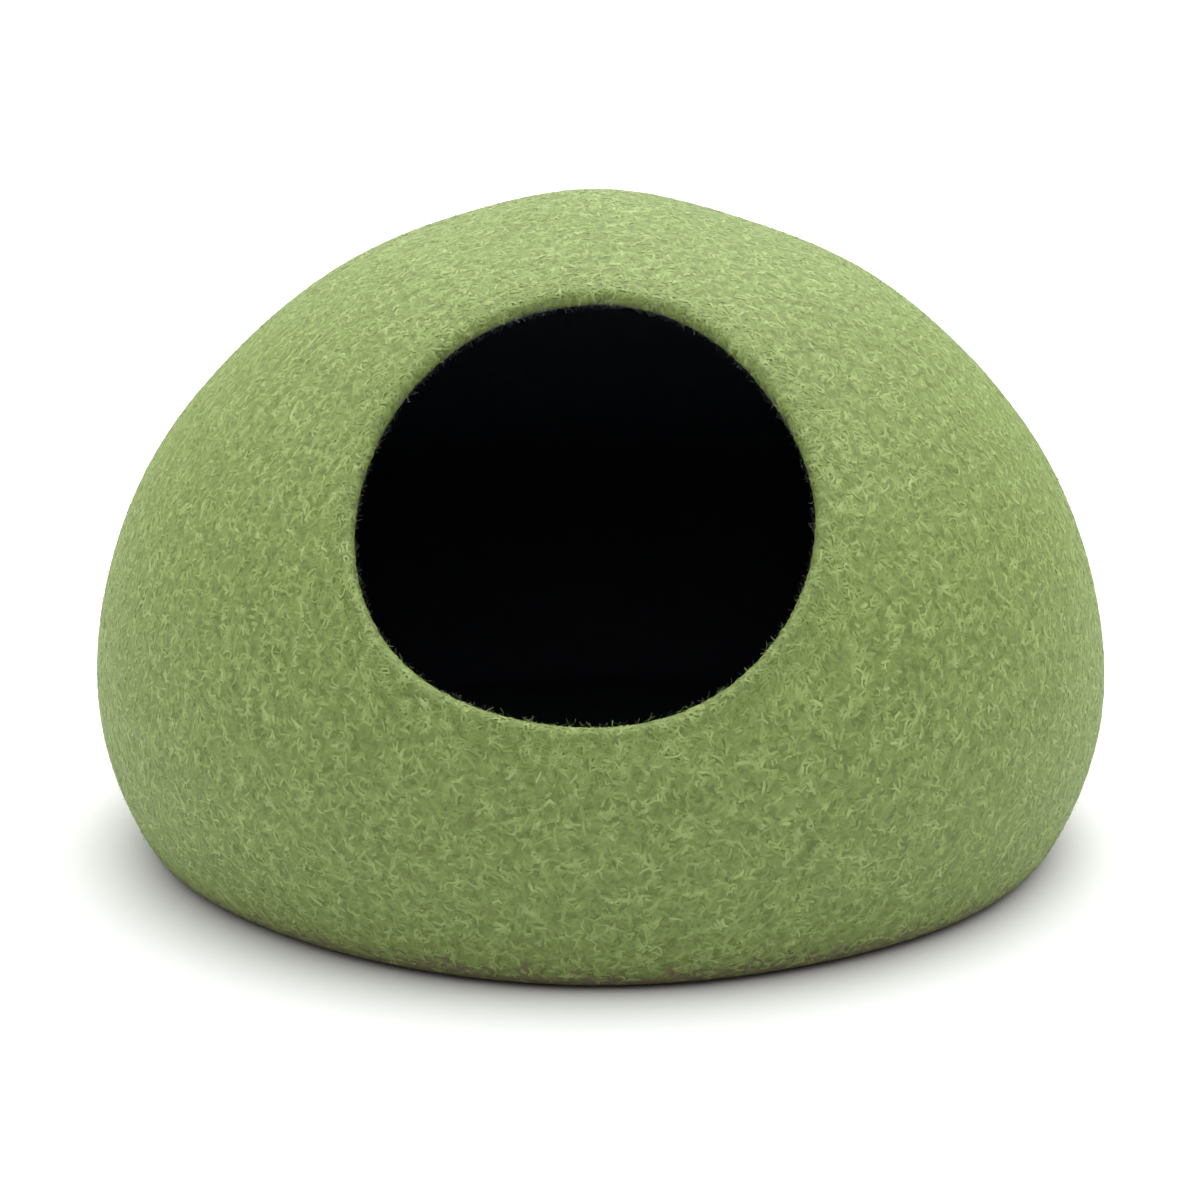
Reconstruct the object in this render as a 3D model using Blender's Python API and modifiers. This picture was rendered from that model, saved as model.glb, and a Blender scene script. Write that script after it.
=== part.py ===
"""A one-piece cat cave of thick wool felt: a low turned dome, pressed flat where it stands, with a
round entrance that leans back in its front. Metres, +Z up, the entrance towards -Y, the floor at z = 0."""

import bmesh
import bpy
import numpy as np

# The form is measured as a reach from its heart, a point on the turned form's centre line. The line
# stands beside the origin by what the swells below add to one side more than to the other.
HEART = (-0.0004, 0.0004, 0.0965)
REACH = (  # elevation in degrees, reach in metres; the rows under the floor shape the turn of the base
    (90, 0.1990),
    (75, 0.1966),
    (60, 0.1990),
    (45, 0.2041),
    (30, 0.2110),
    (15, 0.2196),
    (0, 0.2270),
    (-15, 0.2298),
    (-30, 0.2249),
    (-45, 0.2212),
    (-60, 0.2172),
    (-75, 0.2150),
    (-90, 0.2142),
)

# Hand felting leaves low swells (+) and flats (-).
# azimuth from the front towards +X, elevation, spread (degrees), height (metres)
SWELLS = (
    (0, -15, 30, 0.0014),
    (90, -15, 25, 0.0029),
    (270, -15, 25, 0.0008),
    (270, 10, 35, 0.0013),
    (270, 50, 28, -0.0009),
    (150, 60, 25, -0.0019),
    (210, 60, 25, 0.0016),
    (180, 22, 30, -0.0016),
    (150, 0, 22, 0.0014),
    (218, -4, 24, -0.0014),
    (62, 28, 20, 0.0012),
    (302, 30, 20, -0.0012),
    (0, -28, 18, 0.0032),
    (0, -7, 13, -0.0020),
    (50, -26, 16, 0.0012),
    (315, -26, 14, -0.0014),
)

# The base turns onto the floor between these heights of the unpressed form, below and above zero.
BASE_TURN = 0.012

# The entrance, as angles seen from the heart: where its middle points, and its half width.
ENTRANCE_AZIMUTH = -2.25
ENTRANCE_ELEVATION = 31.9
ENTRANCE_HALF_ANGLE = 27.0
ENTRANCE_WAVES = (  # crests round the edge, size in degrees, place of a crest in degrees
    (2, 0.37, 76),
    (3, 0.60, -33),
    (5, 0.20, 5),
)

WALL = 0.008
EDGE_ROUND = 0.0035
EDGE_STEPS = 3
EDGE_ANGLE = 60

# The mesh's rings start round the entrance, grow and lean over it until they lie level round the
# foot, go closely round the base's turn and close on the middle of the floor.
SEGMENTS = 64
WALL_RINGS = 20
TURN_RINGS = 5
FLOOR_RINGS = 4
TURN_FROM_CROWN = (111.5, 119.0)  # where the close rings start and end, in degrees from the crown

GREEN_WOOL = (0.27, 0.36, 0.12, 1.0)
DARK_WOOL = (0.012, 0.012, 0.014, 1.0)


def unit(azimuth, elevation):
    """Unit vectors for an azimuth from the front towards +X and an elevation, in degrees."""
    azimuth, elevation = np.radians(azimuth), np.radians(elevation)
    level = np.cos(elevation)
    return np.stack([level * np.sin(azimuth), -level * np.cos(azimuth), np.sin(elevation)], axis=-1)


def reach(directions):
    """The distance from the heart to the outer face. A cosine series in the angle from the crown
    passes through the rows of REACH, and each swell adds a bell of its own spread."""
    elevations, distances = np.array(REACH).T
    waves = np.arange(len(REACH))
    shares = np.linalg.solve(np.cos(np.outer(np.radians(90 - elevations), waves)), distances)
    from_crown = np.arccos(np.clip(directions[:, 2], -1, 1))
    turned = np.cos(np.outer(from_crown, waves)) @ shares
    azimuth, elevation, spread, height = np.array(SWELLS).T
    apart = np.degrees(np.arccos(np.clip(directions @ unit(azimuth, elevation).T, -1, 1)))
    return turned + np.exp(-((apart / spread) ** 2)) @ height


def pressed(height):
    """Height above the floor. A parabola joins the flat base to the wall, tangent to both."""
    turning = (height + BASE_TURN) ** 2 / (4 * BASE_TURN)
    return np.where(height > BASE_TURN, height, np.where(height > -BASE_TURN, turning, 0.0))


def outer_face(directions):
    """Points of the outer face along unit directions from the heart."""
    points = np.array(HEART) + directions * reach(directions)[:, None]
    points[:, 2] = pressed(points[:, 2])
    return points


def ring_directions(around, ring):
    """Unit directions from the heart. around is the angle about a ring's axis, from +X upwards, and
    ring counts from 0 at the entrance's edge. Over the wall a ring's half angle grows evenly
    while its axis leans from the entrance's middle to straight up; from there on only it grows."""
    wall = np.clip(ring / WALL_RINGS, 0, 1)
    turn = np.clip((ring - WALL_RINGS) / TURN_RINGS, 0, 1)
    floor = np.clip((ring - WALL_RINGS - TURN_RINGS) / FLOOR_RINGS, 0, 1)
    edge = ENTRANCE_HALF_ANGLE + sum(
        size * np.cos(crests * (around - np.radians(crest))) for crests, size, crest in ENTRANCE_WAVES
    )
    start, end = TURN_FROM_CROWN
    polar = np.radians(edge + (start - edge) * wall + (end - start) * turn + (180 - end) * floor)
    lean = ENTRANCE_ELEVATION + (90 - ENTRANCE_ELEVATION) * wall
    axis = unit(ENTRANCE_AZIMUTH * np.ones_like(lean), lean)
    side = unit((ENTRANCE_AZIMUTH + 90) * np.ones_like(lean), np.zeros_like(lean))
    rise = np.cross(axis, side)
    across = np.cos(around)[:, None] * side + np.sin(around)[:, None] * rise
    return np.cos(polar)[:, None] * axis + np.sin(polar)[:, None] * across


def open_face():
    """The outer face as an open mesh: a sphere without the cap at its pole, whose rings are moved onto
    the felt form, the first of them to the entrance's edge."""
    rings = WALL_RINGS + TURN_RINGS + FLOOR_RINGS
    sphere = bmesh.new()
    bmesh.ops.create_uvsphere(sphere, u_segments=SEGMENTS, v_segments=rings + 1, radius=1.0)
    cap = [vertex for vertex in sphere.verts if vertex.co.z > 1 - 1e-4]
    bmesh.ops.delete(sphere, geom=cap, context="VERTS")
    mesh = bpy.data.meshes.new("felt_cave")
    sphere.to_mesh(mesh)
    sphere.free()
    places = np.empty(len(mesh.vertices) * 3)
    mesh.vertices.foreach_get("co", places)
    places = places.reshape(-1, 3)
    around = np.arctan2(places[:, 1], places[:, 0])
    ring = np.round(np.arccos(np.clip(places[:, 2], -1, 1)) / np.pi * (rings + 1)) - 1
    moved = outer_face(ring_directions(around, ring))
    mesh.vertices.foreach_set("co", moved.ravel())
    return mesh


def wool(name, colour):
    material = bpy.data.materials.new(name)
    material.use_nodes = True
    shader = material.node_tree.nodes["Principled BSDF"]
    shader.inputs["Base Color"].default_value = colour
    shader.inputs["Roughness"].default_value = 0.95
    shader.inputs["Metallic"].default_value = 0.0
    shader.inputs["Sheen Weight"].default_value = 0.3
    return material


def felt_cave(collection):
    """The cave: the open outer face, thickened inwards, with the cut edge rounded."""
    mesh = open_face()
    mesh.materials.append(wool("green_wool", GREEN_WOOL))
    mesh.materials.append(wool("dark_wool", DARK_WOOL))
    mesh.shade_smooth()
    cave = bpy.data.objects.new("felt_cave", mesh)
    collection.objects.link(cave)
    wall = cave.modifiers.new("wall", "SOLIDIFY")
    wall.thickness = WALL
    wall.offset = -1
    wall.use_even_offset = True
    wall.use_rim = True
    wall.material_offset = 1
    edge = cave.modifiers.new("rounded edge", "BEVEL")
    edge.width = EDGE_ROUND
    edge.segments = EDGE_STEPS
    edge.limit_method = "ANGLE"
    edge.angle_limit = np.radians(EDGE_ANGLE)
    return cave


for old in list(bpy.data.objects):
    bpy.data.objects.remove(old, do_unlink=True)
parts = bpy.data.collections.new("Felt cat cave")
bpy.context.scene.collection.children.link(parts)
felt_cave(parts)
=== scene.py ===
"""The looks of a one-piece felt cat cave: its green felt wall, the curled wool fibres on it, the dark
wool inside, and a plain studio round it. Metres, +Z up, the entrance towards -Y."""

import bpy
import numpy as np
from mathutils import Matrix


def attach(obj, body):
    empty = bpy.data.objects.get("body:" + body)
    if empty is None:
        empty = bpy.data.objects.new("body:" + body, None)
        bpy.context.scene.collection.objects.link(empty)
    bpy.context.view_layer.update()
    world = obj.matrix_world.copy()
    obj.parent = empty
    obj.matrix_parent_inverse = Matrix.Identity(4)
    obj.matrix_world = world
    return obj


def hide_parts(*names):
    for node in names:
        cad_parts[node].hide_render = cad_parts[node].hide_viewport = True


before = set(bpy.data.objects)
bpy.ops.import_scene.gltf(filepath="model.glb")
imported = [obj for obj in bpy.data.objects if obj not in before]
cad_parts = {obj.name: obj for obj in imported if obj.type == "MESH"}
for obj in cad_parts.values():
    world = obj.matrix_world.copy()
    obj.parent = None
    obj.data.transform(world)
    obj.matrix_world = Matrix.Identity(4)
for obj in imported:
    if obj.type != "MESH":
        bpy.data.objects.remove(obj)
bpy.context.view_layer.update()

# ---------------------------------------------------------------------------------------------------
# The view. A look down onto the front of the cave from 1.6 m away, at 16 degrees, as it is seen on
# a low table. The camera aims at the heart of the form, the point its reach is measured from.

HEART = np.array((-0.0004, 0.0004, 0.0965))
VIEW_DOWN = np.radians(16.0)
VIEW_AWAY = 1.5939
VIEW_REACH = 60.0  # the camera sees as far as this, past the floor's edge
LENS_MM = 103.95
SENSOR_MM = 36.0
FRAME_SHIFT_UP = 0.0188  # the heart lies this share of the picture below its middle

camera = bpy.data.objects.new("camera", bpy.data.cameras.new("camera"))
camera.data.lens = LENS_MM
camera.data.sensor_width = SENSOR_MM
camera.data.shift_y = FRAME_SHIFT_UP
camera.data.clip_end = VIEW_REACH
camera.location = HEART + VIEW_AWAY * np.array((0.0, -np.cos(VIEW_DOWN), np.sin(VIEW_DOWN)))
camera.rotation_euler = (np.pi / 2 - VIEW_DOWN, 0.0, 0.0)
bpy.context.scene.collection.objects.link(camera)
bpy.context.scene.camera = camera

# ---------------------------------------------------------------------------------------------------
# The felt wall. The whole cave is one piece of wool, felted wet round a flat template and then
# pulled into a dome over a form: 8 mm of leaf green wool outside and a thin layer of near-black wool
# inside. The entrance is cut out, and its cut edge is felted round.

REACH = (  # elevation in degrees, reach in metres; the rows under the floor shape the turn of the base
    (90, 0.1990),
    (75, 0.1966),
    (60, 0.1990),
    (45, 0.2041),
    (30, 0.2110),
    (15, 0.2196),
    (0, 0.2270),
    (-15, 0.2298),
    (-30, 0.2249),
    (-45, 0.2212),
    (-60, 0.2172),
    (-75, 0.2150),
    (-90, 0.2142),
)
SWELLS = (  # azimuth from the front towards +X, elevation, spread (degrees), height (metres)
    (0, -15, 30, 0.0014),
    (90, -15, 25, 0.0029),
    (270, -15, 25, 0.0008),
    (270, 10, 35, 0.0013),
    (270, 50, 28, -0.0009),
    (150, 60, 25, -0.0019),
    (210, 60, 25, 0.0016),
    (180, 22, 30, -0.0016),
    (150, 0, 22, 0.0014),
    (218, -4, 24, -0.0014),
    (62, 28, 20, 0.0012),
    (302, 30, 20, -0.0012),
    (0, -28, 18, 0.0032),
    (0, -7, 13, -0.0020),
    (50, -26, 16, 0.0012),
    (315, -26, 14, -0.0014),
)
MEAN_REACH = 0.215
BASE_TURN = 0.012  # the turn from wall to base starts this high
ENTRANCE_AZIMUTH = -2.25
ENTRANCE_ELEVATION = 31.9
ENTRANCE_HALF_ANGLE = 27.0
ENTRANCE_WAVES = ((2, 0.37, 76), (3, 0.60, -33), (5, 0.20, 5))  # crests, size, place of a crest
WALL = 0.008
EDGE_RADIUS = WALL / 2
HAND_LUMPS = 48  # low waves that hand felting leaves all over
LUMP_LENGTHS = (0.014, 0.070)
LUMP_SLOPE = 0.0018  # a wave's height over its length
LUMP_SEED = 11
NEAR = 1e-4  # a small angle, over which slopes are measured
STEEP = 0.8  # past this share of up or down, a direction is crossed with +X and not with up

COLUMNS = 200
WALL_ROWS = 120
TURN_ROWS = 12
FLOOR_ROWS = 5
EDGE_ROWS = 9
INNER_STEP = 3  # the inner face has every third row of the outer one
TURN_FROM_CROWN = (111.5, 119.0)


def unit(azimuth, elevation):
    """Unit vectors for an azimuth from the front towards +X and an elevation, in degrees."""
    azimuth, elevation = np.radians(azimuth), np.radians(elevation)
    level = np.cos(elevation)
    return np.stack([level * np.sin(azimuth), -level * np.cos(azimuth), np.sin(elevation)], axis=-1)


def normalised(vectors):
    """The same vectors, each divided by its length."""
    return vectors / np.linalg.norm(vectors, axis=-1, keepdims=True)


def plane_waves(directions, lengths, seed):
    """One value for each direction and each of lengths: the cosine of a plane wave of that length,
    in metres on the wall, that runs some way through the sphere of directions."""
    draw = np.random.default_rng(seed)
    ways = normalised(draw.normal(size=(len(lengths), 3)))
    phases = draw.uniform(0, 2 * np.pi, len(lengths))
    return np.cos(directions @ (ways * (2 * np.pi * MEAN_REACH / lengths)[:, None]).T + phases)


def hand_lumps(directions):
    """Low lumps: a sum of plane waves, each with a height that is a fixed share of its length."""
    lengths = np.geomspace(*LUMP_LENGTHS, HAND_LUMPS)
    return plane_waves(directions, lengths, LUMP_SEED) @ (lengths * LUMP_SLOPE / np.sqrt(HAND_LUMPS))


def reach(directions):
    """The distance from the heart to the outer face: a cosine series in the angle from the crown that
    passes through the rows of REACH, plus a bell for each swell, plus the hand's low lumps."""
    elevations, distances = np.array(REACH).T
    waves = np.arange(len(REACH))
    shares = np.linalg.solve(np.cos(np.outer(np.radians(90 - elevations), waves)), distances)
    from_crown = np.arccos(np.clip(directions[:, 2], -1, 1))
    turned = np.cos(np.outer(from_crown, waves)) @ shares
    azimuth, elevation, spread, height = np.array(SWELLS).T
    apart = np.degrees(np.arccos(np.clip(directions @ unit(azimuth, elevation).T, -1, 1)))
    return turned + np.exp(-((apart / spread) ** 2)) @ height + hand_lumps(directions)


def outer_points(directions):
    """Points of the outer face along unit directions from the heart. The foot is pressed flat: a
    parabola joins the level base to the wall, tangent to both."""
    points = HEART + directions * reach(directions)[:, None]
    height = points[:, 2]
    turning = (height + BASE_TURN) ** 2 / (4 * BASE_TURN)
    points[:, 2] = np.where(height > BASE_TURN, height, np.where(height > -BASE_TURN, turning, 0.0))
    return points


def outer_face(directions):
    """Points of the outer face and its outward unit normals, which are square to two short steps."""
    shape = directions.shape
    directions = directions.reshape(-1, 3)
    aside = np.where(np.abs(directions[:, 2:]) > STEEP, (1.0, 0.0, 0.0), (0.0, 0.0, 1.0))
    first = normalised(np.cross(aside, directions))
    second = np.cross(directions, first)
    points = outer_points(directions)
    step_one = outer_points(normalised(directions + NEAR * first)) - points
    step_two = outer_points(normalised(directions + NEAR * second)) - points
    return points.reshape(shape), normalised(np.cross(step_one, step_two)).reshape(shape)


def entrance_edge(around):
    """The entrance's half angle, in radians, at the angle around about its axis, from +X upwards: a
    constant plus a cosine for each of its waves."""
    waves = (size * np.cos(crests * (around - np.radians(crest))) for crests, size, crest in ENTRANCE_WAVES)
    return np.radians(ENTRANCE_HALF_ANGLE + sum(waves))


def entrance_direction(around, beyond, lean=0.0):
    """Unit directions at the angle around about the entrance's axis and the angle beyond outside its
    edge. lean turns the axis towards straight up, in degrees."""
    polar = entrance_edge(around) + beyond
    azimuth = ENTRANCE_AZIMUTH * np.ones_like(polar)
    axis = unit(azimuth, ENTRANCE_ELEVATION + lean * np.ones_like(polar))
    side = unit(azimuth + 90, np.zeros_like(polar))
    rise = np.cross(axis, side)
    across = np.cos(around)[..., None] * side + np.sin(around)[..., None] * rise
    return np.cos(polar)[..., None] * axis + np.sin(polar)[..., None] * across


def rim_face(around, along):
    """Points and outward normals of the band round the entrance. along is the distance across it
    from where the edge starts to round over: below zero on the outer face, then round a half circle
    of EDGE_RADIUS, and past that half circle on the inner face, one wall inside the outer one."""
    shape = along.shape
    around, along = around.ravel(), along.ravel()
    round_end = np.pi * EDGE_RADIUS
    away = (EDGE_RADIUS + np.maximum(0, np.maximum(-along, along - round_end))) / MEAN_REACH
    points, normals = outer_face(entrance_direction(around, away))
    ahead = outer_points(entrance_direction(around + NEAR, away))
    inward = normalised(np.cross(normals, ahead - points))
    turn = (np.clip(along, 0, round_end) / EDGE_RADIUS)[:, None]
    turned = np.cos(turn) * normals + np.sin(turn) * inward
    points += EDGE_RADIUS * (turned - normals)
    return points.reshape(*shape, 3), turned.reshape(*shape, 3)


def wall_mesh():
    """The wall as one closed grid, columns round the entrance's axis by rows. The rows go from the
    middle of the floor up the outer face to the entrance, over the round edge, and back down the
    inner face, which lies one wall inside the outer one. Over the wall a row's half angle grows
    evenly while its axis leans from the entrance's to straight up. Returns the points, the quads,
    the end triangles and, for each point, how far through the wall it lies, from 0 to 1."""
    around = np.arange(COLUMNS) * 2 * np.pi / COLUMNS
    wall = np.linspace(0, 1, WALL_ROWS)[:, None]
    foot = np.radians(TURN_FROM_CROWN)
    start = entrance_edge(around) + EDGE_RADIUS / MEAN_REACH
    polar = np.concatenate(
        [
            start + (foot[0] - start) * wall,
            np.linspace(foot[0], foot[1], TURN_ROWS + 1)[1:, None] + 0 * start,
            np.linspace(foot[1], np.pi, FLOOR_ROWS + 2)[1:-1, None] + 0 * start,
        ]
    )
    lean = (90 - ENTRANCE_ELEVATION) * np.concatenate([wall, np.ones((TURN_ROWS + FLOOR_ROWS, 1))])
    around, lean = around + 0 * polar, lean + 0 * polar
    outside, normals = outer_face(entrance_direction(around, polar - entrance_edge(around), lean))
    kept = np.r_[0:WALL_ROWS:INNER_STEP, WALL_ROWS : len(outside)]
    inside = outside[kept] - WALL * normals[kept]
    turns = np.linspace(0, np.pi, EDGE_ROWS + 2)[1:-1, None]
    edge, _ = rim_face(around[: len(turns)], EDGE_RADIUS * turns + 0 * around[0])
    rows = np.concatenate([outside[::-1], edge, inside])
    depth = np.concatenate([np.zeros(len(outside)), (1 - np.cos(turns[:, 0])) / 2, np.ones(len(inside))])
    floor = outer_points(np.array([[0.0, 0.0, -1.0]]))[0]
    points = np.concatenate([rows.reshape(-1, 3), [floor, floor + (0.0, 0.0, WALL)]])
    through = np.concatenate([np.repeat(depth, COLUMNS), [0.0, 1.0]])
    number = np.arange(len(rows) * COLUMNS).reshape(len(rows), COLUMNS)
    after = np.roll(number, -1, axis=1)
    quads = np.stack([number[:-1], number[1:], after[1:], after[:-1]], axis=-1).reshape(-1, 4)
    low_pole, high_pole = number.size, number.size + 1
    ends = [
        np.stack([0 * number[0] + low_pole, number[0], after[0]], axis=-1),
        np.stack([0 * number[0] + high_pole, after[-1], number[-1]], axis=-1),
    ]
    return points, quads, np.concatenate(ends), through


def new_piece(name, points, quads, triangles=np.empty((0, 3), int)):
    """A smooth object named name, of those points and faces, each face a row of its corners."""
    mesh = bpy.data.meshes.new(name)
    corners = np.concatenate([quads.ravel(), triangles.ravel()])
    starts = np.concatenate([4 * np.arange(len(quads)), quads.size + 3 * np.arange(len(triangles))])
    mesh.vertices.add(len(points))
    mesh.vertices.foreach_set("co", points.ravel())
    mesh.loops.add(len(corners))
    mesh.loops.foreach_set("vertex_index", corners)
    mesh.polygons.add(len(starts))
    mesh.polygons.foreach_set("loop_start", starts)
    mesh.update(calc_edges=True)
    mesh.validate()
    mesh.shade_smooth()
    piece = bpy.data.objects.new(name, mesh)
    bpy.context.scene.collection.objects.link(piece)
    return piece


class Shade:
    """A socket in a tree of shader nodes. An expression on it adds Math nodes to the tree."""

    def __init__(self, tree, socket=None):
        self.tree, self.socket = tree, socket

    def node(self, kind, settings=(), sockets=(), output=0):
        """A new node of that kind. settings are its own values, stops being a ramp's places and
        colours; sockets gives values or links by name or number; output picks what comes out."""
        made = self.tree.nodes.new("ShaderNode" + kind)
        for name, value in dict(settings).items():
            if name != "stops":
                setattr(made, name, value)
                continue
            steps = made.color_ramp.elements
            for place, colour in value[2:]:
                steps.new(place)
            for step, (place, colour) in zip(steps, value, strict=True):
                step.position, step.color = place, colour
        for name, value in dict(sockets).items():
            if isinstance(value, Shade):
                self.tree.links.new(value.socket, made.inputs[name])
            else:
                made.inputs[name].default_value = value
        return Shade(self.tree, made.outputs[output] if len(made.outputs) else None)

    def maths(self, operation, *values):
        """A Math node on those values or sockets."""
        return self.node("Math", {"operation": operation}, dict(enumerate(values)))

    def __add__(self, other):
        return self.maths("ADD", self, other)

    def __mul__(self, other):
        return self.maths("MULTIPLY", self, other)

    def __sub__(self, other):
        return self.maths("SUBTRACT", self, other)

    def __rsub__(self, other):
        return self.maths("SUBTRACT", other, self)

    def __pow__(self, other):
        return self.maths("POWER", self, other)

    __radd__ = __add__
    __rmul__ = __mul__

    def rise(self, low, high):
        """0 below low, 1 above high, and a smooth step between them."""
        return self.node(
            "MapRange",
            {"interpolation_type": "SMOOTHSTEP"},
            {"Value": self, "From Min": low, "From Max": high},
        )

    def blend(self, dark, pale):
        """The colour dark where this value is 0, and pale where it is 1."""
        return self.node("Mix", {"data_type": "RGBA"}, {0: self, 6: dark, 7: pale}, output=2)


WOOL_ROUGHNESS = 0.6
WOOL_SPECULAR = 0.36
WOOL_SHEEN = 0.12
SHEEN_ROUGHNESS = 0.45
SHEEN_TINT = (0.69, 1.0, 0.16, 1.0)


def wool_shader(name, colour, bump=None, bump_height=0.0):
    """A matt woollen material. colour is called with the material's tree and gives the base colour;
    bump does the same for a height from 0 to 1."""
    material = bpy.data.materials.new(name)
    material.use_nodes = True
    tree = material.node_tree
    tree.nodes.clear()
    start = Shade(tree)
    sockets = {
        "Base Color": colour(start),
        "Roughness": WOOL_ROUGHNESS,
        "Specular IOR Level": WOOL_SPECULAR,
        "Sheen Weight": WOOL_SHEEN,
        "Sheen Roughness": SHEEN_ROUGHNESS,
        "Sheen Tint": SHEEN_TINT,
    }
    if bump:
        height = bump(start)
        sockets["Normal"] = start.node("Bump", {}, {"Distance": bump_height, "Height": height})
    wool = start.node("BsdfPrincipled", {}, sockets)
    start.node("OutputMaterial", {}, {"Surface": wool})
    return material


FELT_DEEP = (0.105, 0.149, 0.034, 1.0)
FELT_GREEN = (0.216, 0.290, 0.081, 1.0)
CUT_EDGE = (0.110, 0.098, 0.100, 1.0)
DARK_WOOL = (0.0420, 0.0480, 0.0700, 1.0)
FOOT_SHADE_BROWN = (0.145, 0.100, 0.068, 1.0)

STRAND_SETS = ((140.0, 270.0, 0.55), (210.0, 420.0, 0.45))  # cells and strands a metre, and weight
STRAND_DRAWN_OUT = -0.86  # the share of its length that a strand's noise doesn't vary over
STRAND_WANDER = 0.006
WANDER_CELLS = 140.0  # a metre, of the noise that makes the strands wander
STRAND_RELIEF = 0.0008
MOTTLE_CELLS = 160.0  # a metre, of the noise that makes the colours' borders wander
MOTTLE = 0.2
GREEN_RISE = (0.25, 0.75)  # from deep green to green, by the strands' pattern
FOOT_WANDER = 0.010
FOOT_RISE = (0.0020, 0.0080)  # from the brown of the painted foot shade to green wool, by the height in metres
DEPTH_WANDER = 0.16
EDGE_RISE = (0.68, 0.76)  # from green to the cut edge's grey, by the share of the way through
DARK_RISE = (0.78, 0.88)  # and from grey to dark wool


def strands(start, place, cells_a_metre, strands_a_metre):
    """Short strands: a noise that is drawn out along one way of its own in each small cell."""
    cell = start.node("TexVoronoi", {}, {"Vector": place, "Scale": cells_a_metre}, output=1)
    spread = {0: cell, 1: (2.0, 2.0, 2.0), 2: (-1.0, -1.0, -1.0)}
    way = start.node("VectorMath", {"operation": "MULTIPLY_ADD"}, spread)
    way = start.node("VectorMath", {"operation": "NORMALIZE"}, {0: way})
    along = start.node("VectorMath", {"operation": "DOT_PRODUCT"}, {0: place, 1: way}, output=1)
    drawn = start.node("VectorMath", {"operation": "SCALE"}, {0: way, "Scale": along * STRAND_DRAWN_OUT})
    where = start.node("VectorMath", {}, {0: place, 1: drawn})
    where = start.node("VectorMath", {}, {0: where, 1: cell})
    return start.node("TexNoise", {}, {"Vector": where, "Scale": strands_a_metre, "Detail": 1.0})


def strand_pattern(start):
    """Matted strands, from 0 to 1: two sets of them, on a place that wanders so that they curl."""
    place = start.node("TexCoord", output=3)
    wander = start.node("TexNoise", {}, {"Vector": place, "Scale": WANDER_CELLS, "Detail": 1.0}, output=1)
    curled = {0: wander, 1: (STRAND_WANDER,) * 3, 2: place}
    place = start.node("VectorMath", {"operation": "MULTIPLY_ADD"}, curled)
    broad, fine = (strands(start, place, *spacing) * weight for *spacing, weight in STRAND_SETS)
    return broad + fine


def felt_colour(start):
    """Green felt outside, with painted shade at the foot: a darker brown towards the floor; then through
    a grey line near the inner side of the cut edge, to dark wool."""
    through = start.node("Attribute", {"attribute_name": "through"}, output=2)
    place = start.node("TexCoord", output=3)
    wander = start.node("TexNoise", {}, {"Vector": place, "Scale": MOTTLE_CELLS, "Detail": 2.0})
    mottled = strand_pattern(start) + (wander - 0.5) * MOTTLE
    green = mottled.rise(*GREEN_RISE).blend(FELT_DEEP, FELT_GREEN)
    height = start.node("SeparateXYZ", {}, {"Vector": place}, output=2)
    # Painted shade: the wall turns a darker brown towards the floor, where it meets it.
    green = (height + (wander - 0.5) * FOOT_WANDER).rise(*FOOT_RISE).blend(FOOT_SHADE_BROWN, green)
    depth = through + (wander - 0.5) * DEPTH_WANDER
    edged = depth.rise(*EDGE_RISE).blend(green, CUT_EDGE)
    return depth.rise(*DARK_RISE).blend(edged, DARK_WOOL)


points, quads, triangles, through = wall_mesh()
felt_wall = new_piece("felt_wall", points, quads, triangles)
depth = felt_wall.data.attributes.new("through", "FLOAT", "POINT")
depth.data.foreach_set("value", through.astype(np.float32))
felt_wall.data.materials.append(wool_shader("felted_wool", felt_colour, strand_pattern, STRAND_RELIEF))
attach(felt_wall, "root")
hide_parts("felt_cave")

# ---------------------------------------------------------------------------------------------------
# The curled fibres. Washing and rubbing leave the outer fibres of the felt curled and matted: strands
# about a millimetre wide and half a centimetre long, flat on the wall, their ends drawn into it. The
# deeper ones are broad and even, the last ones finer, more curled and more mixed in tone.

FIBRE_LAYERS = (
    # name, count, steps, lengths (m), width (m), lift (m), curl (turns), tone (mean, spread)
    ("matted_fibres", 24000, 2, (0.003, 0.007), 0.00150, 0.00010, 0.14, (0.45, 0.060)),
    ("felted_fibres", 24000, 2, (0.003, 0.007), 0.00140, 0.00013, 0.16, (0.455, 0.075)),
    ("curled_fibres", 16000, 3, (0.003, 0.007), 0.00125, 0.00016, 0.28, (0.44, 0.092)),
    ("loose_fibres", 16000, 3, (0.0035, 0.0075), 0.00092, 0.00018, 0.38, (0.415, 0.135)),
)
LAYERS_SEED = 100
HALF_WIDTHS = (0.35, 0.62)  # half a fibre's width, as a share of its layer's
TAPER_START = 0.1  # a fibre is as wide as a half wave from this share of it to as far from its end
TAPER_POWER = 0.2  # raised to this power
FIBRE_LEAN = 0.03  # how far a fibre leans over to one side, in radians
ROOT_DEPTH = 0.00008  # a fibre's end lies this deep in the felt
ARCH_SHARES = (0.25, 1.0)  # the height of a fibre's arch, as a share of its layer's lift
CURL_WAVE = 0.5  # the spread of the wave on a fibre's heading, in radians
EDGE_DROP = 0.00006  # how far a fibre's edges lie below its middle line
EDGE_SHADE_TONE = 0.040  # and how much darker they are, as painted shade between the fibres
END_TONE = 0.05  # how much darker its ends are
FLOW_WAVES = 16
FLOW_LENGTHS = (0.030, 0.120)  # over these lengths the fibres' common heading turns
FLOW_SEED = 3
HEADING_SPREAD = 0.80
NAP_WAVES = 40
NAP_LENGTHS = (0.0030, 0.0090)  # the nap's small hills and pits
NAP_SEED = 7
NAP_DEPTH = 0.0003
NAP_LEVEL = 0.35  # its mean height, its spread and its limits, as shares of that depth
NAP_SPREAD = 0.2
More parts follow.
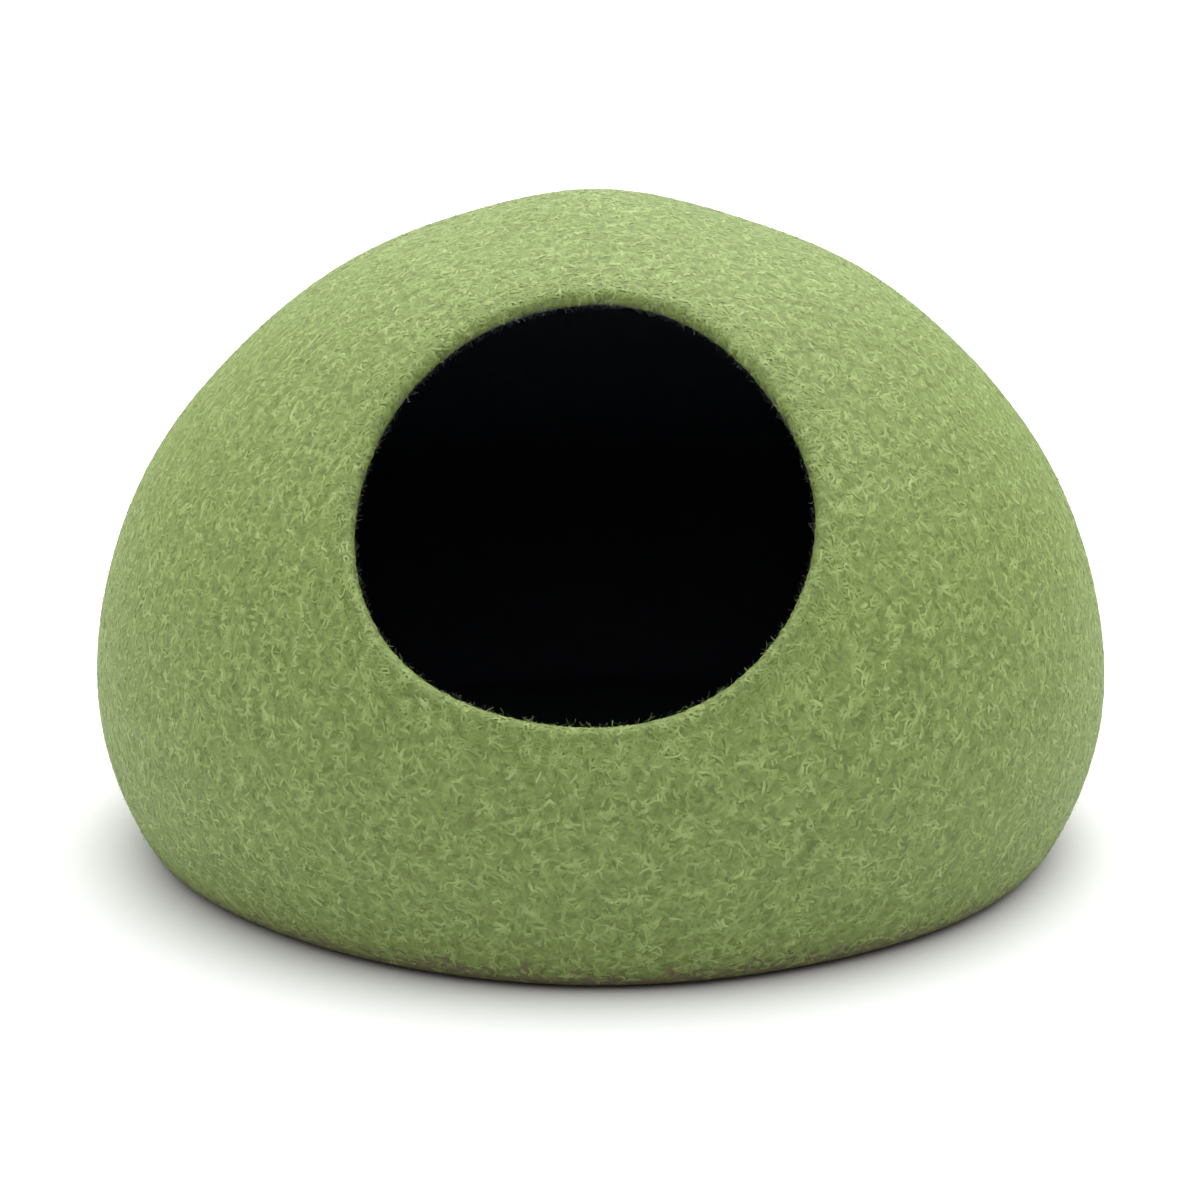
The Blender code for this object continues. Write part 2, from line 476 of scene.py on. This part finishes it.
NAP_LIMITS = (-0.2, 1.0)
NAP_SHADE_TONE = 0.105  # how much paler its hills are and its pits darker: painted light on the hills, painted shade in the pits
PATCH_WAVES = 24
PATCH_LENGTHS = (0.008, 0.030)
PATCH_SEED = 5
PATCH_TONE = 0.030
FIBRE_TONES = (  # the ramp from deep green to pale green, and the darker brown of the painted shade at the foot
    (0.00, (0.108, 0.151, 0.034, 1.0)),
    (0.40, (0.203, 0.276, 0.073, 1.0)),
    (0.85, (0.361, 0.459, 0.167, 1.0)),
    (0.88, (0.205, 0.165, 0.090, 1.0)),
    (0.98, (0.104, 0.066, 0.052, 1.0)),
)
TONE_LIMITS = (0.06, 0.99)
GREEN_TONES = (0.05, 0.85)
FOOT_SHADE_TONES = (0.930, 0.99)
FOOT_SHADE_BELOW = 0.0135
FOOT_SHADE_POWER = 0.8  # above 0 the brown fibres of the painted foot shade thin out towards that height
ROOM_AT_EDGE = 0.008  # no root lies nearer the entrance's edge, so that no fibre reaches over it
FOOT_LIMIT = 0.0012  # nor any lower on the wall
FLOOR_ROOM = 0.0002  # and no point of a fibre lies nearer the floor
EVEN_STEPS = (0.7548776662466927, 0.5698402909980532)  # shares of a turn that spread points evenly
LAYERS_APART = 1e5  # even steps from one layer's first root to the next layer's
ROOT_SCATTER = 0.008  # how far a root is thrown off its even place, as a share of the reach
LAY_AXIS = (0.0, 0.3, 1.0)  # headings are measured from the way round this axis


def root_directions(count, first):
    """Directions spread evenly over the sphere: heights and turns step by two fixed shares, and then
    each is thrown off its place a little, so that no rows show."""
    step = first + np.arange(count)
    height = 1 - 2 * ((0.5 + step * EVEN_STEPS[0]) % 1)
    turn = 2 * np.pi * ((0.5 + step * EVEN_STEPS[1]) % 1)
    level = np.sqrt(1 - height**2)
    directions = np.stack([level * np.cos(turn), level * np.sin(turn), height], axis=-1)
    thrown = np.random.default_rng(int(first)).normal(0, ROOT_SCATTER, directions.shape)
    return normalised(directions + thrown)


def beyond_edge(directions):
    """The distance of directions outside the entrance's edge, in metres along the face."""
    axis = unit(ENTRANCE_AZIMUTH, ENTRANCE_ELEVATION)
    side = unit(ENTRANCE_AZIMUTH + 90, 0.0)
    around = np.arctan2(directions @ np.cross(axis, side), directions @ side)
    return (np.arccos(np.clip(directions @ axis, -1, 1)) - entrance_edge(around)) * MEAN_REACH


def wall_roots(count, first, lowest):
    """count root directions that lie clear of the entrance's edge and higher than lowest."""
    roots = root_directions(2 * count, first)
    clear = (beyond_edge(roots) > ROOM_AT_EDGE) & (outer_points(roots)[:, 2] > lowest)
    return roots[clear][:count]


def even_waves(directions, count, lengths, seed):
    """The sum of count plane waves, of lengths from the shorter to the longer, scaled to a spread of
    about one."""
    return plane_waves(directions, np.geomspace(*lengths, count), seed).sum(axis=-1) / np.sqrt(count / 2)


def nap_waves(points):
    """The nap's waves over the face, by the direction of each point from the heart."""
    return even_waves(normalised(points - HEART), NAP_WAVES, NAP_LENGTHS, NAP_SEED)


def curls(draw, count, lengths, curl, steps, heading=None):
    """Flat curls: the heading turns evenly along a fibre by a random share of curl turns, with one
    wave on top, and the offsets are the running sums of short steps along it. Returns the offsets
    across and along from each fibre's root, in metres."""
    share = (np.arange(steps) + 0.5) / steps - 0.5
    first = draw.uniform(0, 2 * np.pi, (count, 1))
    if heading is not None:
        first = heading[:, None] + draw.normal(0, HEADING_SPREAD, (count, 1))
    turn = draw.normal(0, 2 * np.pi * curl, (count, 1))
    height = draw.normal(0, CURL_WAVE, (count, 1))
    wave = height * np.sin(2 * np.pi * (share + draw.uniform(0, 1, (count, 1))))
    heading = first + turn * share + wave
    length = draw.uniform(*lengths, (count, 1)) / steps
    moves = np.stack([np.cos(heading), np.sin(heading)], axis=-1) * length[..., None]
    offsets = np.concatenate([np.zeros((count, 1, 2)), np.cumsum(moves, axis=1)], axis=1)
    return offsets[..., 0], offsets[..., 1]


def on_dome(roots, across, along):
    """Points and normals of the outer face at those offsets from each root direction."""
    east = normalised(np.cross(roots, LAY_AXIS))
    north = np.cross(east, roots)
    ways = across[..., None] * east[:, None] + along[..., None] * north[:, None]
    return outer_face(normalised(roots[:, None] + ways / MEAN_REACH))


def arch(draw, count, lift, steps):
    """Heights along fibres: a half wave of some share of lift, with both ends drawn into the felt."""
    share = np.linspace(0, 1, steps + 1)
    return draw.uniform(*ARCH_SHARES, (count, 1)) * lift * np.sin(np.pi * share) - ROOT_DEPTH


def fibre_piece(name, material, draw, points, normals, width, heights, tones):
    """Strands along rows of points on a face, each raised by its row of heights and with its row of
    tones. Across, a strand is a low ridge of three points on the nap, the outer two EDGE_DROP lower.
    Along, it is as wide as a half wave raised to TAPER_POWER, and it leans over a little to one
    side. Its map OFBake holds its tone across and its length upwards."""
    count, stops = points.shape[:2]
    share = np.linspace(0, 1, stops)
    points = points + normals * heights[..., None]
    along = normalised(np.gradient(points, axis=1))
    side = normalised(np.cross(normals, along))
    lean = draw.normal(0, FIBRE_LEAN, (count, 1, 1))
    side = side * np.cos(lean) + normals * np.sin(lean)
    taper = np.sin(np.pi * (TAPER_START + (1 - 2 * TAPER_START) * share)) ** TAPER_POWER
    half = width * draw.uniform(*HALF_WIDTHS, (count, 1)) * taper
    aside = np.array((-1.0, 0.0, 1.0))
    ridge = points[:, :, None] + side[:, :, None] * (half[..., None] * aside)[..., None]
    nap = NAP_DEPTH * np.clip(NAP_LEVEL + NAP_SPREAD * nap_waves(ridge), *NAP_LIMITS)
    ridge += normals[:, :, None] * (nap - EDGE_DROP * np.abs(aside))[..., None]
    ridge[..., 2] = np.maximum(ridge[..., 2], FLOOR_ROOM)
    number = np.arange(count * stops * 3).reshape(count, stops, 3)
    rows = (number[:, :-1, :-1], number[:, 1:, :-1], number[:, 1:, 1:], number[:, :-1, 1:])
    piece = new_piece(name, ridge.reshape(-1, 3), np.stack(rows, axis=-1).reshape(-1, 4))
    # Painted shade: a fibre's tone is darker towards its sunk edges.
    across = np.clip(tones, *TONE_LIMITS)[..., None] - EDGE_SHADE_TONE * np.abs(aside)
    places = [np.broadcast_to(across, number.shape), np.broadcast_to(share[:, None], number.shape)]
    corners = np.empty(len(piece.data.loops), int)
    piece.data.loops.foreach_get("vertex_index", corners)
    tone_map = piece.data.uv_layers.new(name="OFBake")
    tone_map.data.foreach_set("uv", np.stack(places, axis=-1).reshape(-1, 2)[corners].ravel())
    piece.data.materials.append(material)
    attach(piece, "root")
    return piece


def fibre_colour(start):
    """The tone of each fibre, a little paler at its middle than at its ends."""
    where = start.node("UVMap", {"uv_map": "OFBake"})
    tone = start.node("SeparateXYZ", {}, {"Vector": where})
    along = start.node("SeparateXYZ", {}, {"Vector": where}, output=1)
    ends = (along * 2 - 1).maths("ABSOLUTE")
    return start.node("ValToRGB", {"stops": FIBRE_TONES}, {"Fac": tone - ends * ends * END_TONE})


curled_wool = wool_shader("curled_wool", fibre_colour)
for layer, (name, count, steps, lengths, width, lift, curl, tone) in enumerate(FIBRE_LAYERS):
    draw = np.random.default_rng(LAYERS_SEED + layer)
    roots = wall_roots(count, layer * LAYERS_APART, FOOT_LIMIT)
    flow = np.pi * even_waves(roots, FLOW_WAVES, FLOW_LENGTHS, FLOW_SEED)
    across, along = curls(draw, count, lengths, curl, steps, flow)
    middle = steps // 2
    points, normals = on_dome(roots, across - across[:, [middle]], along - along[:, [middle]])
    patches = even_waves(roots, PATCH_WAVES, PATCH_LENGTHS, PATCH_SEED)
    tones = draw.normal(*tone, count) + PATCH_TONE * patches
    # Painted light and shade: tones follow the nap, paler on its hills and darker in its pits.
    tones = np.clip(tones[:, None] + NAP_SHADE_TONE * nap_waves(points), *GREEN_TONES)
    # Painted shade at the foot: fibres rooted near the floor take the darker brown tones.
    low = points[:, [middle], 2] < FOOT_SHADE_BELOW * draw.uniform(0, 1, (count, 1)) ** FOOT_SHADE_POWER
    tones = np.where(low, draw.uniform(*FOOT_SHADE_TONES, (count, 1)), tones)
    heights = arch(draw, count, lift, steps)
    fibre_piece(name, curled_wool, draw, points, normals, width, heights, tones)

# ---------------------------------------------------------------------------------------------------
# The fuzz. All over the wall, single fine hairs stand a millimetre out of the felt and give the cave
# its soft outline. They are the wall's own wool, with one end held in the felt.

FUZZ_HAIRS = 6000
FUZZ_SEED = 150
FUZZ_FIRST = 7 * LAYERS_APART
FUZZ_STEPS = 2
FUZZ_LENGTHS = (0.0015, 0.0045)
FUZZ_WIDTH = 0.00024
FUZZ_LIFT = 0.0014
FUZZ_CURL = 0.2
FUZZ_TONE = (0.40, 0.08)
STANDING_SHARES = (0.1, 1.0)  # the height of a hair's tip, as a share of its piece's lift
STANDING_POWER = 1.4


def standing(draw, count, lift, steps):
    """Heights of hairs with a free end: they rise faster and faster from the root to the tip."""
    share = np.linspace(0, 1, steps + 1)
    return draw.uniform(*STANDING_SHARES, (count, 1)) * lift * share**STANDING_POWER - ROOT_DEPTH


draw = np.random.default_rng(FUZZ_SEED)
roots = wall_roots(FUZZ_HAIRS, FUZZ_FIRST, FUZZ_LENGTHS[1])
across, along = curls(draw, FUZZ_HAIRS, FUZZ_LENGTHS, FUZZ_CURL, FUZZ_STEPS)
points, normals = on_dome(roots, across, along)
heights = standing(draw, FUZZ_HAIRS, FUZZ_LIFT, FUZZ_STEPS)
tones = draw.normal(*FUZZ_TONE, (FUZZ_HAIRS, 1))
fibre_piece("fuzz_hairs", curled_wool, draw, points, normals, FUZZ_WIDTH, heights, tones)

# ---------------------------------------------------------------------------------------------------
# The rim of the entrance. The cut edge is felted over like the wall, so green fibres lie round it as
# far as the dark wool. There the dark wool's own short hairs stand out of the edge, greyish where
# the light reaches them, and a few pale green ones stand up from the lip.

RIM_STEPS = 3
RIM_SEED = 200
RIM_FIBRES = 4200
RIM_BAND = (-0.0125, 0.0070)  # from the outer face to near the inner one, across the round edge
RIM_LENGTHS = (0.003, 0.007)
RIM_WIDTH = 0.00100
RIM_LIFT = 0.0004
RIM_CURL = 0.25
RIM_TONE = (0.43, 0.08)
LIP_SEED = 201
LIP_HAIRS = 70
LIP_PLACE = (-np.pi / 2, 0.55)  # the middle and the spread of the lip, about the entrance's axis
LIP_BAND = (0.002, 0.008)
LIP_LENGTHS = (0.003, 0.008)
LIP_ACROSS_EDGE = 0.4  # a lip hair's offset across the edge, as a share of a flat one's
LIP_WIDTH = 0.00020
LIP_LIFT = 0.0035
LIP_CURL = 0.2
LIP_TONES = (0.4, 0.8)
DARK_SEED = 202
DARK_HAIRS = 2400
DARK_BAND = (0.0080, 0.0170)
DARK_LENGTHS = (0.003, 0.006)
DARK_WIDTH = 0.0003
DARK_LIFT = 0.0026
DARK_CURL = 0.3
DARK_TONE = (0.5, 0.25)
DARK_HAIR_SHADE_FALL = 60  # a metre, from the outer side of the band: painted shade deeper into the entrance
DARK_HAIR_PALE = (0.26, 0.21, 0.23, 1.0)
OPENING_RADIUS = 0.097


def on_rim(around, start, across, along):
    """Points and normals of the band round the entrance at those offsets from each root."""
    return rim_face(around[:, None] + across / OPENING_RADIUS, start[:, None] + along)


def dark_colour(start):
    """Dark wool, from near black to the grey of the hairs that catch the light."""
    where = start.node("UVMap", {"uv_map": "OFBake"})
    tone = start.node("SeparateXYZ", {}, {"Vector": where})
    return tone.blend(DARK_WOOL, DARK_HAIR_PALE)


draw = np.random.default_rng(RIM_SEED)
around = draw.uniform(0, 2 * np.pi, RIM_FIBRES)
start = draw.uniform(*RIM_BAND, RIM_FIBRES)
across, along = curls(draw, RIM_FIBRES, RIM_LENGTHS, RIM_CURL, RIM_STEPS)
points, normals = on_rim(around, start, across, along)
# Painted light and shade: tones follow the nap, paler on its hills and darker in its pits.
tones = np.clip(draw.normal(*RIM_TONE, (RIM_FIBRES, 1)) + NAP_SHADE_TONE * nap_waves(points), *GREEN_TONES)
heights = arch(draw, RIM_FIBRES, RIM_LIFT, RIM_STEPS)
fibre_piece("rim_fibres", curled_wool, draw, points, normals, RIM_WIDTH, heights, tones)

draw = np.random.default_rng(LIP_SEED)
around = draw.normal(*LIP_PLACE, LIP_HAIRS)
start = draw.uniform(*LIP_BAND, LIP_HAIRS)
across, along = curls(draw, LIP_HAIRS, LIP_LENGTHS, LIP_CURL, RIM_STEPS)
points, normals = on_rim(around, start, across, LIP_ACROSS_EDGE * along)
heights = standing(draw, LIP_HAIRS, LIP_LIFT, RIM_STEPS)
tones = draw.uniform(*LIP_TONES, (LIP_HAIRS, 1))
fibre_piece("lip_hairs", curled_wool, draw, points, normals, LIP_WIDTH, heights, tones)

dark_wool = wool_shader("dark_hairs", dark_colour)
draw = np.random.default_rng(DARK_SEED)
around = draw.uniform(0, 2 * np.pi, DARK_HAIRS)
start = draw.uniform(*DARK_BAND, DARK_HAIRS)
across, along = curls(draw, DARK_HAIRS, DARK_LENGTHS, DARK_CURL, RIM_STEPS)
points, normals = on_rim(around, start, across, along)
heights = standing(draw, DARK_HAIRS, DARK_LIFT, RIM_STEPS)
# Painted light and shade: the hairs are paler near the outer side, where light reaches, and darker deeper
# in.
tones = draw.normal(*DARK_TONE, (DARK_HAIRS, 1)) - (start[:, None] - DARK_BAND[0]) * DARK_HAIR_SHADE_FALL
fibre_piece("dark_hairs", dark_wool, draw, points, normals, DARK_WIDTH, heights, tones)

# ---------------------------------------------------------------------------------------------------
# The studio: a pale floor without an edge and a white room, lit softly and mostly from above.

FLOOR_REACH = 30.0
FLOOR_LEVEL = -0.0004
FLOOR_PAINT = {"Base Color": (0.80, 0.80, 0.80, 1.0), "Roughness": 0.9, "Specular IOR Level": 0.0}
SKY_LIGHTS = (  # wide soft lamps: the way to each (x, y, z), how narrow, and its strength
    ((0.0, 0.0, 1.0), 6.0, 3.30),
    ((0.0, 0.0, 1.0), 1.5, 0.56),
    ((0.0, 0.8486, 0.5291), 6.0, 2.04),
    ((0.5013, 0.2005, 0.8417), 6.0, 1.65),
    ((-0.8554, 0.2516, 0.4528), 5.0, 0.77),
)
SKY_LEVEL = 0.01
WHITE = (1.0, 1.0, 1.0, 1.0)

ends = (-FLOOR_REACH, FLOOR_REACH)
floor_corners = np.array([(x, y, FLOOR_LEVEL) for y in ends for x in ends])
floor = new_piece("floor", floor_corners, np.array([(0, 1, 3, 2)]))
floor_paint = bpy.data.materials.new("floor_paint")
floor_paint.use_nodes = True
for socket, value in FLOOR_PAINT.items():
    floor_paint.node_tree.nodes["Principled BSDF"].inputs[socket].default_value = value
floor.data.materials.append(floor_paint)

world = bpy.data.worlds.new("studio")
world.use_nodes = True
world.node_tree.nodes.clear()
sky = Shade(world.node_tree)
way = sky.node("TexCoord", output=0)
strength = SKY_LEVEL
for lamp, narrow, level in SKY_LIGHTS:
    towards = sky.node("VectorMath", {"operation": "DOT_PRODUCT"}, {0: way, 1: lamp}, output=1)
    strength = towards.maths("MAXIMUM", towards, 0.0) ** narrow * level + strength
seen = sky.node("LightPath", output=0)
light = sky.node("Background", {}, {"Color": WHITE, "Strength": strength})
white = sky.node("Background", {}, {"Color": WHITE, "Strength": 1.0})
both = sky.node("MixShader", {}, {0: seen, 1: light, 2: white})
sky.node("OutputWorld", {}, {"Surface": both})
bpy.context.scene.world = world
bpy.context.scene.view_settings.view_transform = "Standard"
